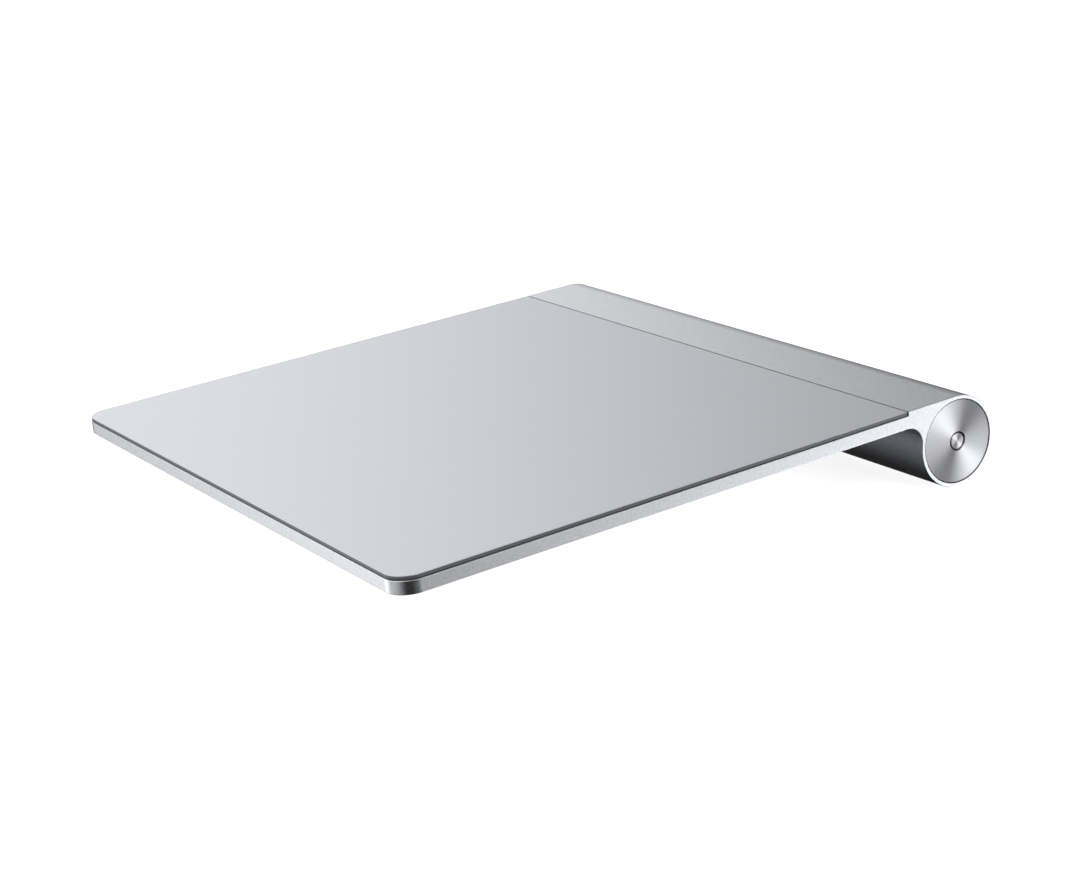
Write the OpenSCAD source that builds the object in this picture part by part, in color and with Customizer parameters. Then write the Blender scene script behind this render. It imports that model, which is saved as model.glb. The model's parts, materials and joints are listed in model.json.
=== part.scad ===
// Wireless trackpad: a machined aluminium tray with a battery tube along its back edge,
// a glass touch plate, and a click mechanism that works through the two front feet.
//
// Pieces are drawn in the tray's own axes: X runs along the tube, Y runs back, Z is square to
// the glass, and the origin is the middle of the tube's axis. standing() then tips the tray
// forward onto its feet, so that the part stands on Z = 0 with its origin under its middle.

/* [Body] */
// Width of the body, which is also the length of the tube
body_width = 130; // [124:0.5:150]
// Depth from the front edge to the back of the tube
body_depth = 131.4; // [120:0.1:150]
// Wall of the battery tube
tube_wall = 1.4; // [1.2:0.05:2]
// Radius of the two front corners, seen from above
corner_radius = 4.5; // [4.2:0.1:9]
// Radius of the hollow between the slab's underside and the tube
hollow_radius = 3.5; // [2.5:0.1:4.5]
// Width of the metal that shows around the bottom cover
rim_wall = 1.4; // [1.1:0.1:2]
// Width of the ledge that the bottom cover is bonded to
cover_ledge = 1.6; // [1.2:0.1:2]
// Width of each stiffening rib
rib_width = 3; // [2:0.1:4]
// Distance between the middles of the two long ribs
rib_spacing = 46; // [40:1:52]

/* [Glass] */
// Thickness of the glass touch plate
glass_thickness = 0.75; // [0.6:0.05:1]
// Distance from the tube's axis forward to the back edge of the glass
seam_setback = 12.1; // [11.5:0.1:14]
// Width of the seam behind the glass
seam_gap = 0.2; // [0.1:0.01:0.3]
// How far the glass stands back from the metal at its three free edges
glass_setback = 0.1; // [0.05:0.01:0.2]
// Thickness of the adhesive under the glass
glass_bond = 0.1; // [0.05:0.01:0.15]
// How far the adhesive stands back from the edge of the glass
bond_setback = 0.4; // [0.2:0.1:1]

/* [Bottom cover] */
// Thickness of the bottom cover
cover_thickness = 0.5; // [0.4:0.05:0.8]
// Thickness of the adhesive that holds the cover
cover_bond = 0.1; // [0.05:0.01:0.12]
// Gap all round the cover
cover_gap = 0.15; // [0.1:0.01:0.25]

/* [Feet] */
// Diameter of each front foot
foot_diameter = 8; // [6:0.5:9]
// How far the front feet stand out of the underside
foot_height = 1.5; // [1.2:0.1:2]
// Distance of the front feet's middles from the front edge
foot_inset_front = 8.5; // [8:0.1:10]
// Distance of the front feet's middles from the sides
foot_inset_side = 13; // [11:0.5:16]
// Gap between a front foot and its hole in the cover
foot_gap = 0.3; // [0.25:0.05:0.5]
// How far the rear pads stand out of the tube
rear_pad_height = 0.4; // [0.3:0.05:0.8]
// Length of each rear pad along the tube
rear_pad_length = 16; // [10:1:24]
// Distance of each rear pad's middle from the end of the tube
rear_pad_inset = 43; // [36:0.5:48]
// Angle of the tube that each rear pad covers
rear_pad_angle = 34; // [26:1:44]
// Extra radius of the rear pads that is flattened where they stand
rear_pad_flat = 0.15; // [0.1:0.01:0.2]
// Thickness of the glue line under a rear pad
pad_bond = 0.05; // [0.02:0.01:0.1]

/* [Click mechanism] */
// Thickness of the steel lever
lever_thickness = 0.45; // [0.35:0.05:0.5]
// Width of the lever's spine and of its tongue
lever_width = 6; // [5:0.5:7]
// Travel of the front feet when the pad clicks
click_travel = 0.5; // [0.3:0.05:0.6]
// Distance from the lever's hinge to the feet
lever_arm = 20; // [17:0.5:24]
// Distance from the lever's hinge to the click switch
switch_arm = 8; // [7:0.5:9]
// Gap between the lever and the bottom cover
lever_gap = 0.1; // [0.1:0.01:0.15]
// Diameter of the hinge pins
hinge_pin_diameter = 0.7; // [0.6:0.05:0.9]
// Radial clearance of the knuckles on the pins
hinge_clearance = 0.05; // [0.03:0.01:0.08]
// Radial clearance of the pins in their lugs
lug_clearance = 0.02; // [0.01:0.01:0.04]
// Wall of a knuckle round its pin
knuckle_wall = 0.25; // [0.22:0.01:0.35]
// Length of each knuckle
knuckle_length = 6; // [4:0.5:8]
// Length of each lug beside a knuckle
lug_length = 3; // [2:0.5:4]
// Metal of a lug in front of its pin's knuckle
lug_nose = 0.25; // [0.2:0.05:0.4]
// Gap between a knuckle and the metal beside, above and behind it
knuckle_gap = 0.25; // [0.2:0.05:0.4]
// Distance between the middles of the two hinges
hinge_spacing = 60; // [50:1:66]
// Width of the square click switch
switch_width = 5; // [4:0.5:6]
// Height of the click switch
switch_height = 0.6; // [0.55:0.05:0.7]
// Diameter of the nub that presses the switch
nub_diameter = 2; // [1.6:0.1:2.4]
// How far the nub reaches into the switch when nothing presses
nub_entry = 0.05; // [0.03:0.01:0.08]
// Gap round the nub in the switch, and above it at the end of its travel
nub_gap = 0.3; // [0.2:0.05:0.4]
// Room left above the nub at the end of its travel
nub_headroom = 0.1; // [0.08:0.01:0.15]
// Gap between the nub and the snap dome
dome_gap = 0.02; // [0.01:0.01:0.04]
// Thickness of the snap dome
dome_thickness = 0.06; // [0.05:0.01:0.08]

/* [Boards] */
// Thickness of the touch sensor board
board_thickness = 0.5; // [0.4:0.05:0.8]
// Gap between the sensor board and the tray's frame
board_gap = 0.3; // [0.2:0.05:0.5]
// Side of the square touch controller chip
controller_size = 9; // [6:0.5:12]
// Thickness of the logic board
logic_thickness = 0.5; // [0.4:0.05:0.6]
// Width of the logic board
logic_width = 28; // [26:0.5:32]
// Depth of the logic board
logic_depth = 20; // [18:0.5:24]
// Gap between the logic board and the right-hand side of the tray's frame
logic_gap = 0.5; // [0.3:0.1:2]
// Distance of the logic board from the back of the window
logic_back_gap = 3; // [2.5:0.5:5]
// Margin round the pieces on the logic board
logic_margin = 2; // [1:0.1:2.5]
// Thickness of the foam pad that holds the logic board
pad_thickness = 0.2; // [0.15:0.01:0.25]
// Height of the chips and connectors on the boards
chip_height = 0.65; // [0.5:0.05:0.7]
// Width of a chip on the logic board
chip_width = 4; // [3:0.1:4.5]
// Depth of a chip on the logic board
chip_depth = 3; // [2:0.1:4]
// Number of chips in the row on the logic board
chip_count = 3; // [2:1:3]
// Gap between chips in the row
chip_gap = 1; // [0.6:0.1:1.5]
// Width of the radio's shield can
can_width = 10; // [8:0.5:11]
// Depth of the radio's shield can
can_depth = 9; // [7:0.5:10]
// Depth of a flat cable's socket
socket_depth = 2.4; // [2:0.1:3]
// Thickness of the flat cables
flex_thickness = 0.12; // [0.1:0.01:0.15]
// Width of the sensor board's flat cable
flex_width = 8; // [6:0.5:9]
// Width of the power cable
power_flex_width = 3.5; // [2.5:0.1:4]
// Length of the sensor cable that is soldered to the sensor board
flex_tail = 3; // [2:0.5:5]
// Length over which the sensor cable comes down to its socket
flex_fall = 4; // [3:0.5:6]
// Length of the sensor cable that lies level at its socket
flex_lead = 2; // [1:0.5:3]
// Room round the power cable in its slot through the metal
flex_room = 0.35; // [0.25:0.05:0.4]

/* [Battery bay] */
// Diameter of an AA cell
cell_diameter = 14.5; // [13.5:0.1:14.5]
// Length of an AA cell with its nub
cell_length = 50.5; // [49.2:0.1:50.5]
// Diameter of a cell's nub
cell_nub_diameter = 5.5; // [4.2:0.1:5.5]
// Height of a cell's nub
cell_nub_height = 1; // [0.8:0.1:1.5]
// Width of the crimped edge at the ends of a cell
cell_crimp = 0.8; // [0.4:0.1:1.2]
// Radial clearance of the cells in the tube
cell_clearance = 0.35; // [0.3:0.05:0.5]
// How much wider the seats of the end disc and the cap are than the bore, on the radius
seat_step = 0.68; // [0.6:0.01:0.8]
// Gap round the end disc and the battery cap
end_gap = 0.1; // [0.08:0.01:0.15]
// How far the end disc and the cap lie below the ends of the tube
end_recess = 0.1; // [0.05:0.01:0.3]
// Thickness of the end disc and of the cap's head
disc_thickness = 1.2; // [1:0.1:1.5]
// Width of the broken edges of the disc, the cap and the button
edge_break = 0.12; // [0.08:0.01:0.2]
// Thickness of the positive contact
contact_thickness = 0.4; // [0.3:0.05:0.6]
// How far the positive contact reaches past the cell's nub all round
contact_margin = 1.5; // [1:0.1:2]
// Clearance of the contact's carrier and of the power switch's board in the bore
carrier_clearance = 0.15; // [0.1:0.05:0.3]
// Depth of the flat on the carrier and the board, under the power cable
carrier_flat = 0.7; // [0.6:0.05:0.8]
// Thickness of the carrier
carrier_thickness = 1.8; // [1.4:0.1:3]
// Clearance of the contact in the carrier
contact_clearance = 0.1; // [0.05:0.01:0.15]
// Width of the contact's tail, which runs to the power switch's board
tail_width = 2; // [1.5:0.1:2.5]

/* [Battery cap] */
// Length of the cap's threaded neck
neck_length = 3.6; // [3:0.1:4]
// How much wider the threaded mouth of the tube is than its bore, on the radius
thread_step = 0.35; // [0.25:0.01:0.45]
// Length of the threaded mouth past the neck
thread_runout = 1; // [0.5:0.1:2]
// Clearance of the neck in the threaded mouth
neck_clearance = 0.1; // [0.08:0.01:0.15]
// Wall of the hollow neck
neck_wall = 1.2; // [1:0.1:1.6]
// Length of the coin slot
slot_length = 11; // [9:0.5:13]
// Width of the coin slot
slot_width = 1.7; // [1.4:0.1:2.2]
// Depth of the coin slot
slot_depth = 0.7; // [0.5:0.05:0.8]
// Thickness of the contact plate in the cap
plate_thickness = 0.4; // [0.3:0.05:0.6]
// Clearance of the contact plate in the cap
plate_clearance = 0.1; // [0.08:0.01:0.15]
// Distance from the end of the neck to the first cell
spring_reach = 2.5; // [2:0.1:3]
// Diameter of the battery spring's wire
spring_wire = 0.6; // [0.5:0.05:0.7]
// Turns of the battery spring
spring_turns = 3.5; // [3:0.5:4]
// Radius of the spring at the cap
spring_wide_radius = 4.6; // [4:0.1:5]
// Radius of the spring at the cell
spring_narrow_radius = 2.6; // [2.2:0.1:3]
// Gap between the spring and the first cell
spring_end_gap = 0.1; // [0.05:0.01:0.2]

/* [Power button] */
// Diameter of the power button
button_diameter = 3.2; // [2.8:0.1:4.6]
// Gap round the power button
button_gap = 0.3; // [0.1:0.01:0.4]
// How far the button lies below the end disc
button_recess = 0.05; // [0.02:0.01:0.2]
// Travel of the power button
button_travel = 0.4; // [0.3:0.05:0.5]
// How far the flange that keeps the button in reaches past the button all round
flange_reach = 1.05; // [0.6:0.05:1.5]
// Thickness of the button's flange
flange_thickness = 0.9; // [0.7:0.1:1.2]
// Gap between the flange and the end disc
flange_gap = 0.05; // [0.03:0.01:0.1]
// Diameter of the button's stem
stem_diameter = 2.4; // [1.8:0.1:2.8]
// Length of the button's stem
stem_length = 0.8; // [0.6:0.1:2]
// Width of the square power switch
power_switch_width = 4.5; // [4:0.1:5]
// Height of the power switch
power_switch_height = 2.2; // [1.8:0.1:2.6]
// Diameter of the power switch's plunger
plunger_diameter = 1.8; // [1.4:0.1:2]
// How far the plunger stands out of its switch
plunger_reach = 0.7; // [0.6:0.05:1]
// How far the plunger is held inside its switch
plunger_seat = 0.3; // [0.2:0.05:0.4]
// Clearance round the plunger, and behind it at the end of its travel
plunger_gap = 0.1; // [0.08:0.01:0.15]
// Thickness of the power switch's board
switch_board_thickness = 0.8; // [0.6:0.1:1]

/* [Hidden] */
$fn = 64;
// How far a cutting shape passes the face that it opens
pass = 0.5;

// Battery tube
cell_r = cell_diameter / 2;
bore_r = cell_r + cell_clearance;
tube_r = bore_r + tube_wall;

// Hinge of the click lever, which sets the height inside the tray
pin_r = hinge_pin_diameter / 2;
knuckle_bore_r = pin_r + hinge_clearance;
knuckle_r = knuckle_bore_r + knuckle_wall;

// Levels through the slab, from the glass down
top_z = tube_r;
glass_z = top_z - glass_thickness;
land_z = glass_z - glass_bond;
board_z = glass_z - board_thickness;
hinge_z = board_z - knuckle_gap - knuckle_r;
lever_z = hinge_z - knuckle_r;
cover_top_z = lever_z - lever_gap;
ledge_z = cover_top_z + cover_bond;
under_z = cover_top_z - cover_thickness;

// Hollow under the slab: a circle that touches the underside and the tube
hollow_z = under_z - hollow_radius;
hollow_y = -sqrt(pow(tube_r + hollow_radius, 2) - pow(hollow_z, 2));

// Places across the tray
frame_width = rim_wall + cover_ledge;
half_width = body_width / 2;
front_y = tube_r - body_depth;
seam_y = -seam_setback;
step_y = seam_y + seam_gap;
window_half = half_width - frame_width;
window_front_y = front_y + frame_width;
window_back_y = min(seam_y, hollow_y) - frame_width;
window_r = corner_radius - frame_width;
recess_half = half_width - rim_wall;
recess_front_y = front_y + rim_wall;
recess_back_y = window_back_y + cover_ledge;
recess_r = corner_radius - rim_wall;

// Stance: the floor touches the middles of the front feet and the rear pads
foot_x = half_width - foot_inset_side;
foot_y = front_y + foot_inset_front;
foot_z = under_z - foot_height;
rear_reach = tube_r + rear_pad_height;
tilt = atan2(foot_z, -foot_y) + asin(rear_reach / norm([foot_y, foot_z]));
front_reach = min(front_y * cos(tilt) - land_z * sin(tilt),
                  (front_y + glass_setback) * cos(tilt) - top_z * sin(tilt));
stand_y = -(front_reach + tube_r) / 2;

// Click mechanism
hinge_x = hinge_spacing / 2;
hinge_y = foot_y + lever_arm;
cross_rib_y = hinge_y + knuckle_r + knuckle_gap;
lug_y = hinge_y - knuckle_r - lug_nose;
lug_start = knuckle_length / 2 + knuckle_gap;
switch_y = hinge_y - switch_arm;
switch_z = board_z - switch_height;
switch_rise = click_travel * switch_arm / lever_arm;
switch_well = nub_entry + switch_rise + nub_headroom;
nub_r = nub_diameter / 2;
nub_z = lever_z + lever_thickness;
nub_top_z = switch_z + nub_entry;

// Battery bay, from the cap at the left to the power button at the right
seat_r = bore_r + seat_step;
end_r = seat_r - end_gap;
thread_r = bore_r + thread_step;
neck_r = thread_r - neck_clearance;
cup_r = neck_r - neck_wall;
cap_x = -half_width + end_recess;
neck_x = cap_x + disc_thickness;
neck_end_x = neck_x + neck_length;
plate_x = neck_x + plate_clearance;
spring_x = plate_x + plate_thickness;
cells_x = neck_end_x + spring_reach;
contact_x = cells_x + 2 * cell_length;
contact_r = cell_nub_diameter / 2 + contact_margin;
button_r = button_diameter / 2;
button_x = half_width - end_recess - button_recess;
disc_x = half_width - end_recess - disc_thickness;
flange_x = disc_x - flange_gap - flange_thickness;
stem_x = flange_x - stem_length;
plunger_r = plunger_diameter / 2;
plunger_x = stem_x - plunger_reach;
power_switch_x = plunger_x - power_switch_height;
switch_board_x = power_switch_x - switch_board_thickness;
carrier_r = bore_r - carrier_clearance;
carrier_flat_z = carrier_r - carrier_flat;

// Boards
logic_x = window_half - logic_gap - logic_width;
logic_back_y = window_back_y - logic_back_gap;
logic_y = logic_back_y - logic_depth;
logic_z = board_z - pad_thickness - logic_thickness;
chip_z = logic_z - chip_height;
power_flex_x = plunger_x - power_flex_width;
sensor_flex_x = logic_x + logic_margin;
sensor_flex_z = logic_z - (chip_height + flex_thickness) / 2;

// Colours of the finishes
ALUMINIUM = [0.82, 0.83, 0.84];
GLASS = [0.76, 0.77, 0.79];
BOARD_GREEN = [0.10, 0.32, 0.20];
BLACK = [0.10, 0.10, 0.11];
STEEL = [0.68, 0.69, 0.70];
BRASS = [0.80, 0.66, 0.35];
AMBER = [0.72, 0.45, 0.15];
WHITE = [0.93, 0.93, 0.92];
RUBBER = [0.80, 0.80, 0.79];

// Tips the tray onto its feet
module standing() {
    translate([0, stand_y, rear_reach]) rotate([tilt, 0, 0]) children();
}

// Extrudes a shape drawn in Y and Z from x0 to x1
module across(x0, x1) {
    translate([x0, 0, 0]) rotate([90, 0, 90]) linear_extrude(height = x1 - x0) children();
}

// Turns a shape that rises along Z so that it runs along X from x
module along_x(x) {
    translate([x, 0, 0]) rotate([0, 90, 0]) children();
}

// Extrudes a plan shape from z0 to z1
module between(z0, z1) {
    translate([0, 0, z0]) linear_extrude(height = z1 - z0) children();
}

// Round bar along X from x0 to x1 about the lever's hinge
module hinge_bar(r, x0, x1) {
    translate([x0, hinge_y, hinge_z]) rotate([0, 90, 0]) cylinder(r = r, h = x1 - x0);
}

// Plan outline with round front corners and square back corners
module front_rounded(half, y0, y1, r) {
    translate([-half, y0 + r]) square([2 * half, y1 - y0 - r]);
    translate([r - half, y0]) square([2 * (half - r), y1 - y0]);
    for (side = [-1, 1]) translate([side * (half - r), y0 + r]) circle(r);
}

// Plan of the window through the tray
module window_plan() {
    front_rounded(window_half, window_front_y, window_back_y, window_r);
}

// Plan of the bottom cover's recess, drawn in by a margin
module recess_plan(margin) {
    front_rounded(recess_half - margin, recess_front_y + margin, recess_back_y - margin,
                  recess_r - margin);
}

// Disc with a broken upper edge, rising along Z from 0
module broken_disc(r, h) {
    rotate_extrude()
        polygon([[0, 0], [r, 0], [r, h - edge_break], [r - edge_break, h], [0, h]]);
}

// Section through the tube, the thick strip in front of it and the hollow under that
module tube_section() {
    circle(tube_r);
    translate([step_y, under_z]) square([-step_y, top_z - under_z]);
    difference() {
        polygon([[hollow_y, under_z], [0, under_z], [0, 0], [hollow_y, hollow_z]]);
        translate([hollow_y, hollow_z]) circle(hollow_radius);
    }
}

// Metal before it is bored and milled
module body_blank() {
    across(-half_width, half_width) tube_section();
    between(under_z, land_z) front_rounded(half_width, front_y, step_y + pass, corner_radius);
}

// Two long ribs and a cross rib that carry the sensor board
module ribs() {
    height = board_z - ledge_z;
    for (side = [-1, 1])
        translate([side * rib_spacing / 2 - rib_width / 2, cross_rib_y, ledge_z])
            cube([rib_width, window_back_y + pass - cross_rib_y, height]);
    translate([-window_half - pass, cross_rib_y, ledge_z])
        cube([2 * (window_half + pass), rib_width, height]);
}

// Lugs on the cross rib, one on each side of both knuckles
module lugs() {
    for (side = [-1, 1], offset_x = [-lug_start - lug_length, lug_start])
        translate([side * hinge_x + offset_x, lug_y, ledge_z])
            cube([lug_length, cross_rib_y + pass - lug_y, board_z - ledge_z]);
}

// Bore of the tube with the seats at its ends and its threaded mouth
module tube_bore() {
    along_x(-half_width - pass) {
        cylinder(r = bore_r, h = body_width + 2 * pass);
        cylinder(r = thread_r, h = neck_end_x + thread_runout + half_width + pass);
        cylinder(r = seat_r, h = neck_x + half_width + pass);
    }
    along_x(disc_x) cylinder(r = seat_r, h = half_width - disc_x + pass);
}

// Slot that leads the power cable from the bore into the window
module flex_slot() {
    bore_side_y = -sqrt(pow(bore_r, 2) - pow(carrier_flat_z + flex_thickness + flex_room, 2));
    start_y = window_back_y - pass;
    translate([power_flex_x - flex_room, start_y, carrier_flat_z - flex_room])
        cube([power_flex_width + 2 * flex_room, bore_side_y - start_y, flex_thickness + 2 * flex_room]);
}

module aluminium_body() {
    color(ALUMINIUM) standing() difference() {
        union() {
            difference() {
                body_blank();
                between(under_z - pass, land_z + pass) window_plan();
                between(under_z - pass, ledge_z) recess_plan(0);
            }
            ribs();
            lugs();
        }
        tube_bore();
        flex_slot();
        for (side = [-1, 1], offset_x = [-lug_start - lug_length, lug_start])
            hinge_bar(pin_r + lug_clearance, side * hinge_x + offset_x - pass / 4,
                      side * hinge_x + offset_x + lug_length + pass / 4);
    }
}

module touch_glass() {
    color(GLASS) standing() between(glass_z, top_z)
        front_rounded(half_width - glass_setback, front_y + glass_setback, seam_y,
                      corner_radius - glass_setback);
}

module glass_adhesive() {
    margin = glass_setback + bond_setback;
    color(BLACK) standing() difference() {
        between(land_z, glass_z)
            front_rounded(half_width - margin, front_y + margin, seam_y - bond_setback,
                          corner_radius - margin);
        between(land_z - pass, glass_z + pass) window_plan();
    }
}

module touch_sensor_board() {
    color(BOARD_GREEN) standing() between(board_z, glass_z)
        front_rounded(window_half - board_gap, window_front_y + board_gap,
                      window_back_y - board_gap, window_r - board_gap);
}

module touch_controller_chip() {
    bay_x = -(window_half + rib_spacing / 2) / 2;
    bay_y = (cross_rib_y + window_back_y) / 2;
    color(BLACK) standing()
        translate([bay_x - controller_size / 2, bay_y - controller_size / 2, board_z - chip_height])
            cube([controller_size, controller_size, chip_height]);
}

module logic_board() {
    color(BOARD_GREEN) standing() translate([logic_x, logic_y, logic_z])
        cube([logic_width, logic_depth, logic_thickness]);
}

module logic_board_pad() {
    color(BLACK) standing()
        translate([logic_x + logic_margin, logic_y + logic_margin, logic_z + logic_thickness])
            cube([logic_width - 2 * logic_margin, logic_depth - 2 * logic_margin, pad_thickness]);
}

module radio_shield_can() {
    color(STEEL) standing()
        translate([logic_x + logic_margin, logic_back_y - logic_margin - can_depth, chip_z])
            cube([can_width, can_depth, chip_height]);
}

module logic_board_chips() {
    right_x = logic_x + logic_width - logic_margin;
    color(BLACK) standing() for (i = [1:chip_count])
        translate([right_x - i * chip_width - (i - 1) * chip_gap, logic_y + socket_depth + logic_margin,
                   chip_z])
            cube([chip_width, chip_depth, chip_height]);
}

// Sockets on the logic board for the two flat cables
module flex_connectors() {
    color(WHITE) standing() {
        translate([power_flex_x, logic_back_y - socket_depth, chip_z])
            cube([power_flex_width, socket_depth, chip_height]);
        translate([sensor_flex_x, logic_y, chip_z]) cube([flex_width, socket_depth, chip_height]);
    }
}

// Flat cable from the sensor board down to the logic board's front socket
module sensor_flex() {
    lead_y = logic_y - flex_lead;
    tail_y = lead_y - flex_fall;
    upper = [[tail_y - flex_tail, board_z], [tail_y, board_z],
             [lead_y, sensor_flex_z + flex_thickness], [logic_y, sensor_flex_z + flex_thickness]];
    lower = [for (i = [3:-1:0]) upper[i] - [0, flex_thickness]];
    color(AMBER) standing() across(sensor_flex_x, sensor_flex_x + flex_width)
        polygon(concat(upper, lower));
}

// Flat cable from the power switch's board to the logic board's back socket
module power_flex() {
    inner_y = sqrt(pow(carrier_r, 2) - pow(carrier_flat_z + flex_thickness, 2));
    color(AMBER) standing() across(power_flex_x, power_flex_x + power_flex_width)
        translate([logic_back_y, carrier_flat_z]) square([inner_y - logic_back_y, flex_thickness]);
}

module click_switch() {
    color(BLACK) standing() difference() {
        translate([-switch_width / 2, switch_y - switch_width / 2, switch_z])
            cube([switch_width, switch_width, switch_height]);
        translate([0, switch_y, switch_z - pass])
            cylinder(r = nub_r + nub_gap, h = pass + switch_well);
    }
}

// Metal dome in the switch's well, which snaps flat when the nub rises
module click_dome() {
    rise = switch_well - nub_entry - dome_gap;
    outer_r = (pow(nub_r, 2) + pow(rise, 2)) / (2 * rise);
    color(STEEL) standing()
        translate([0, switch_y, switch_z + switch_well - rise + outer_r]) difference() {
            sphere(outer_r);
            sphere(outer_r - dome_thickness);
            translate([-outer_r, -outer_r, rise - outer_r]) cube(2 * outer_r);
        }
}

module click_hinge_pins() {
    reach = lug_start + lug_length;
    color(STEEL) standing() for (side = [-1, 1])
        hinge_bar(pin_r, side * hinge_x - reach, side * hinge_x + reach);
}

// Stamped plan of the lever: a spine between the feet, two hinge arms and the switch's tongue
module lever_plan() {
    translate([-foot_x, foot_y - lever_width / 2]) square([2 * foot_x, lever_width]);
    translate([-lever_width / 2, foot_y]) square([lever_width, switch_y - foot_y]);
    translate([0, switch_y]) circle(lever_width / 2);
    for (side = [-1, 1]) {
        translate([side * foot_x, foot_y]) circle(foot_diameter / 2);
        translate([side * hinge_x - knuckle_length / 2, foot_y]) square([knuckle_length, lever_arm]);
    }
}

module click_lever() {
    half = knuckle_length / 2;
    color(STEEL) standing() difference() {
        union() {
            between(lever_z, lever_z + lever_thickness) lever_plan();
            for (side = [-1, 1])
                hinge_bar(knuckle_r, side * hinge_x - half, side * hinge_x + half);
        }
        for (side = [-1, 1])
            hinge_bar(knuckle_bore_r, side * hinge_x - half - pass, side * hinge_x + half + pass);
    }
}

module lever_nub() {
    color(BLACK) standing() translate([0, switch_y, nub_z])
        cylinder(r = nub_r, h = nub_top_z - nub_z);
}

// Rubber foot under one end of the lever, cut level with the floor
module front_foot(side) {
    slack = foot_diameter * tan(tilt);
    color(RUBBER) difference() {
        standing() translate([side * foot_x, foot_y, foot_z - slack])
            cylinder(r = foot_diameter / 2, h = lever_z - foot_z + slack);
        translate([-body_width, -body_depth, -body_depth])
            cube([2 * body_width, 2 * body_depth, body_depth]);
    }
}
module front_foot_left() { front_foot(-1); }
module front_foot_right() { front_foot(1); }

module bottom_cover() {
    color(WHITE) standing() difference() {
        between(under_z, cover_top_z) recess_plan(cover_gap);
        for (side = [-1, 1]) translate([side * foot_x, foot_y, under_z - pass])
            cylinder(r = foot_diameter / 2 + foot_gap, h = cover_thickness + 2 * pass);
    }
}

module cover_adhesive() {
    color(BLACK) standing() difference() {
        between(cover_top_z, ledge_z) recess_plan(cover_gap);
        between(cover_top_z - pass, ledge_z + pass) window_plan();
    }
}

// Rubber pad bonded under the tube, flat where it stands
module rear_pad(side) {
    x0 = side * (half_width - rear_pad_inset) - rear_pad_length / 2;
    outer_r = rear_reach + rear_pad_flat;
    long = rear_pad_length + 2 * pass;
    color(RUBBER) translate([0, stand_y, rear_reach]) difference() {
        along_x(x0) cylinder(r = outer_r, h = rear_pad_length);
        along_x(x0 - pass) cylinder(r = tube_r + pad_bond, h = long);
        translate([x0 - pass, -outer_r, -rear_reach - outer_r]) cube([long, 2 * outer_r, outer_r]);
        for (turn = [-1, 1]) rotate([turn * rear_pad_angle / 2, 0, 0])
            translate([x0 - pass, turn > 0 ? 0 : -2 * outer_r, -2 * outer_r])
                cube([long, 2 * outer_r, 4 * outer_r]);
    }
}
module rear_pad_left() { rear_pad(-1); }
module rear_pad_right() { rear_pad(1); }

module end_disc() {
    color(ALUMINIUM) standing() along_x(disc_x) difference() {
        broken_disc(end_r, disc_thickness);
        translate([0, 0, -pass]) cylinder(r = button_r + button_gap, h = disc_thickness + 2 * pass);
    }
}

module power_button() {
    color(ALUMINIUM) standing() {
        along_x(stem_x) cylinder(r = stem_diameter / 2, h = stem_length + flange_thickness / 2);
        along_x(flange_x) {
            cylinder(r = button_r + flange_reach, h = flange_thickness);
            broken_disc(button_r, button_x - flange_x);
        }
    }
}

module power_switch() {
    well = plunger_seat + button_travel + plunger_gap;
    color(BLACK) standing() difference() {
        translate([power_switch_x, -power_switch_width / 2, -power_switch_width / 2])
            cube([power_switch_height, power_switch_width, power_switch_width]);
        along_x(plunger_x - well) cylinder(r = plunger_r + plunger_gap, h = well + pass);
    }
}

module power_switch_plunger() {
    color(WHITE) standing() along_x(plunger_x - plunger_seat)
        cylinder(r = plunger_r, h = plunger_seat + plunger_reach);
}

// Round slug in the bore, with the flat on which the power cable lies
module flat_slug(x, length) {
    difference() {
        along_x(x) cylinder(r = carrier_r, h = length);
        translate([x - pass, -bore_r, carrier_flat_z]) cube([length + 2 * pass, 2 * bore_r, bore_r]);
    }
}

module power_switch_board() {
    color(BOARD_GREEN) standing() flat_slug(switch_board_x, switch_board_thickness);
}

// Stamped contact grown by a margin: a round face for the cell's nub, and a tail
module contact_shape(margin, tail_end_x) {
    along_x(contact_x) cylinder(r = contact_r + margin, h = contact_thickness);
    translate([contact_x, contact_r - contact_thickness - margin, -tail_width / 2 - margin])
        cube([tail_end_x - contact_x, contact_thickness + 2 * margin, tail_width + 2 * margin]);
}

module contact_carrier() {
    color(WHITE) standing() difference() {
        flat_slug(contact_x, carrier_thickness);
        contact_shape(contact_clearance, contact_x + carrier_thickness + pass);
    }
}

module positive_contact() {
    color(BRASS) standing() contact_shape(0, switch_board_x);
}

// AA cell with its negative end at x and its nub towards the right
module battery_cell(x) {
    can = cell_length - cell_nub_height;
    stub_r = cell_nub_diameter / 2;
    color(STEEL) standing() along_x(x) rotate_extrude()
        polygon([[0, 0], [cell_r - cell_crimp, 0], [cell_r, cell_crimp], [cell_r, can - cell_crimp],
                 [cell_r - cell_crimp, can], [stub_r, can], [stub_r, cell_length], [0, cell_length]]);
}
module battery_cell_outer() { battery_cell(cells_x); }
module battery_cell_inner() { battery_cell(cells_x + cell_length); }

// Screw cap: a head with a coin slot, and a hollow neck for the negative contact
module battery_cap() {
    straight = slot_length - slot_width;
    color(ALUMINIUM) standing() difference() {
        union() {
            along_x(neck_x) mirror([0, 0, 1]) broken_disc(end_r, disc_thickness);
            along_x(neck_x - pass) cylinder(r = neck_r, h = neck_length + pass);
        }
        along_x(neck_x) cylinder(r = cup_r, h = neck_length + pass);
        along_x(cap_x - pass) linear_extrude(height = slot_depth + pass) {
            square([slot_width, straight], center = true);
            for (side = [-1, 1]) translate([0, side * straight / 2]) circle(slot_width / 2);
        }
    }
}

module cap_contact_plate() {
    color(BRASS) standing() along_x(plate_x)
        cylinder(r = cup_r - plate_clearance, h = plate_thickness);
}

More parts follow.
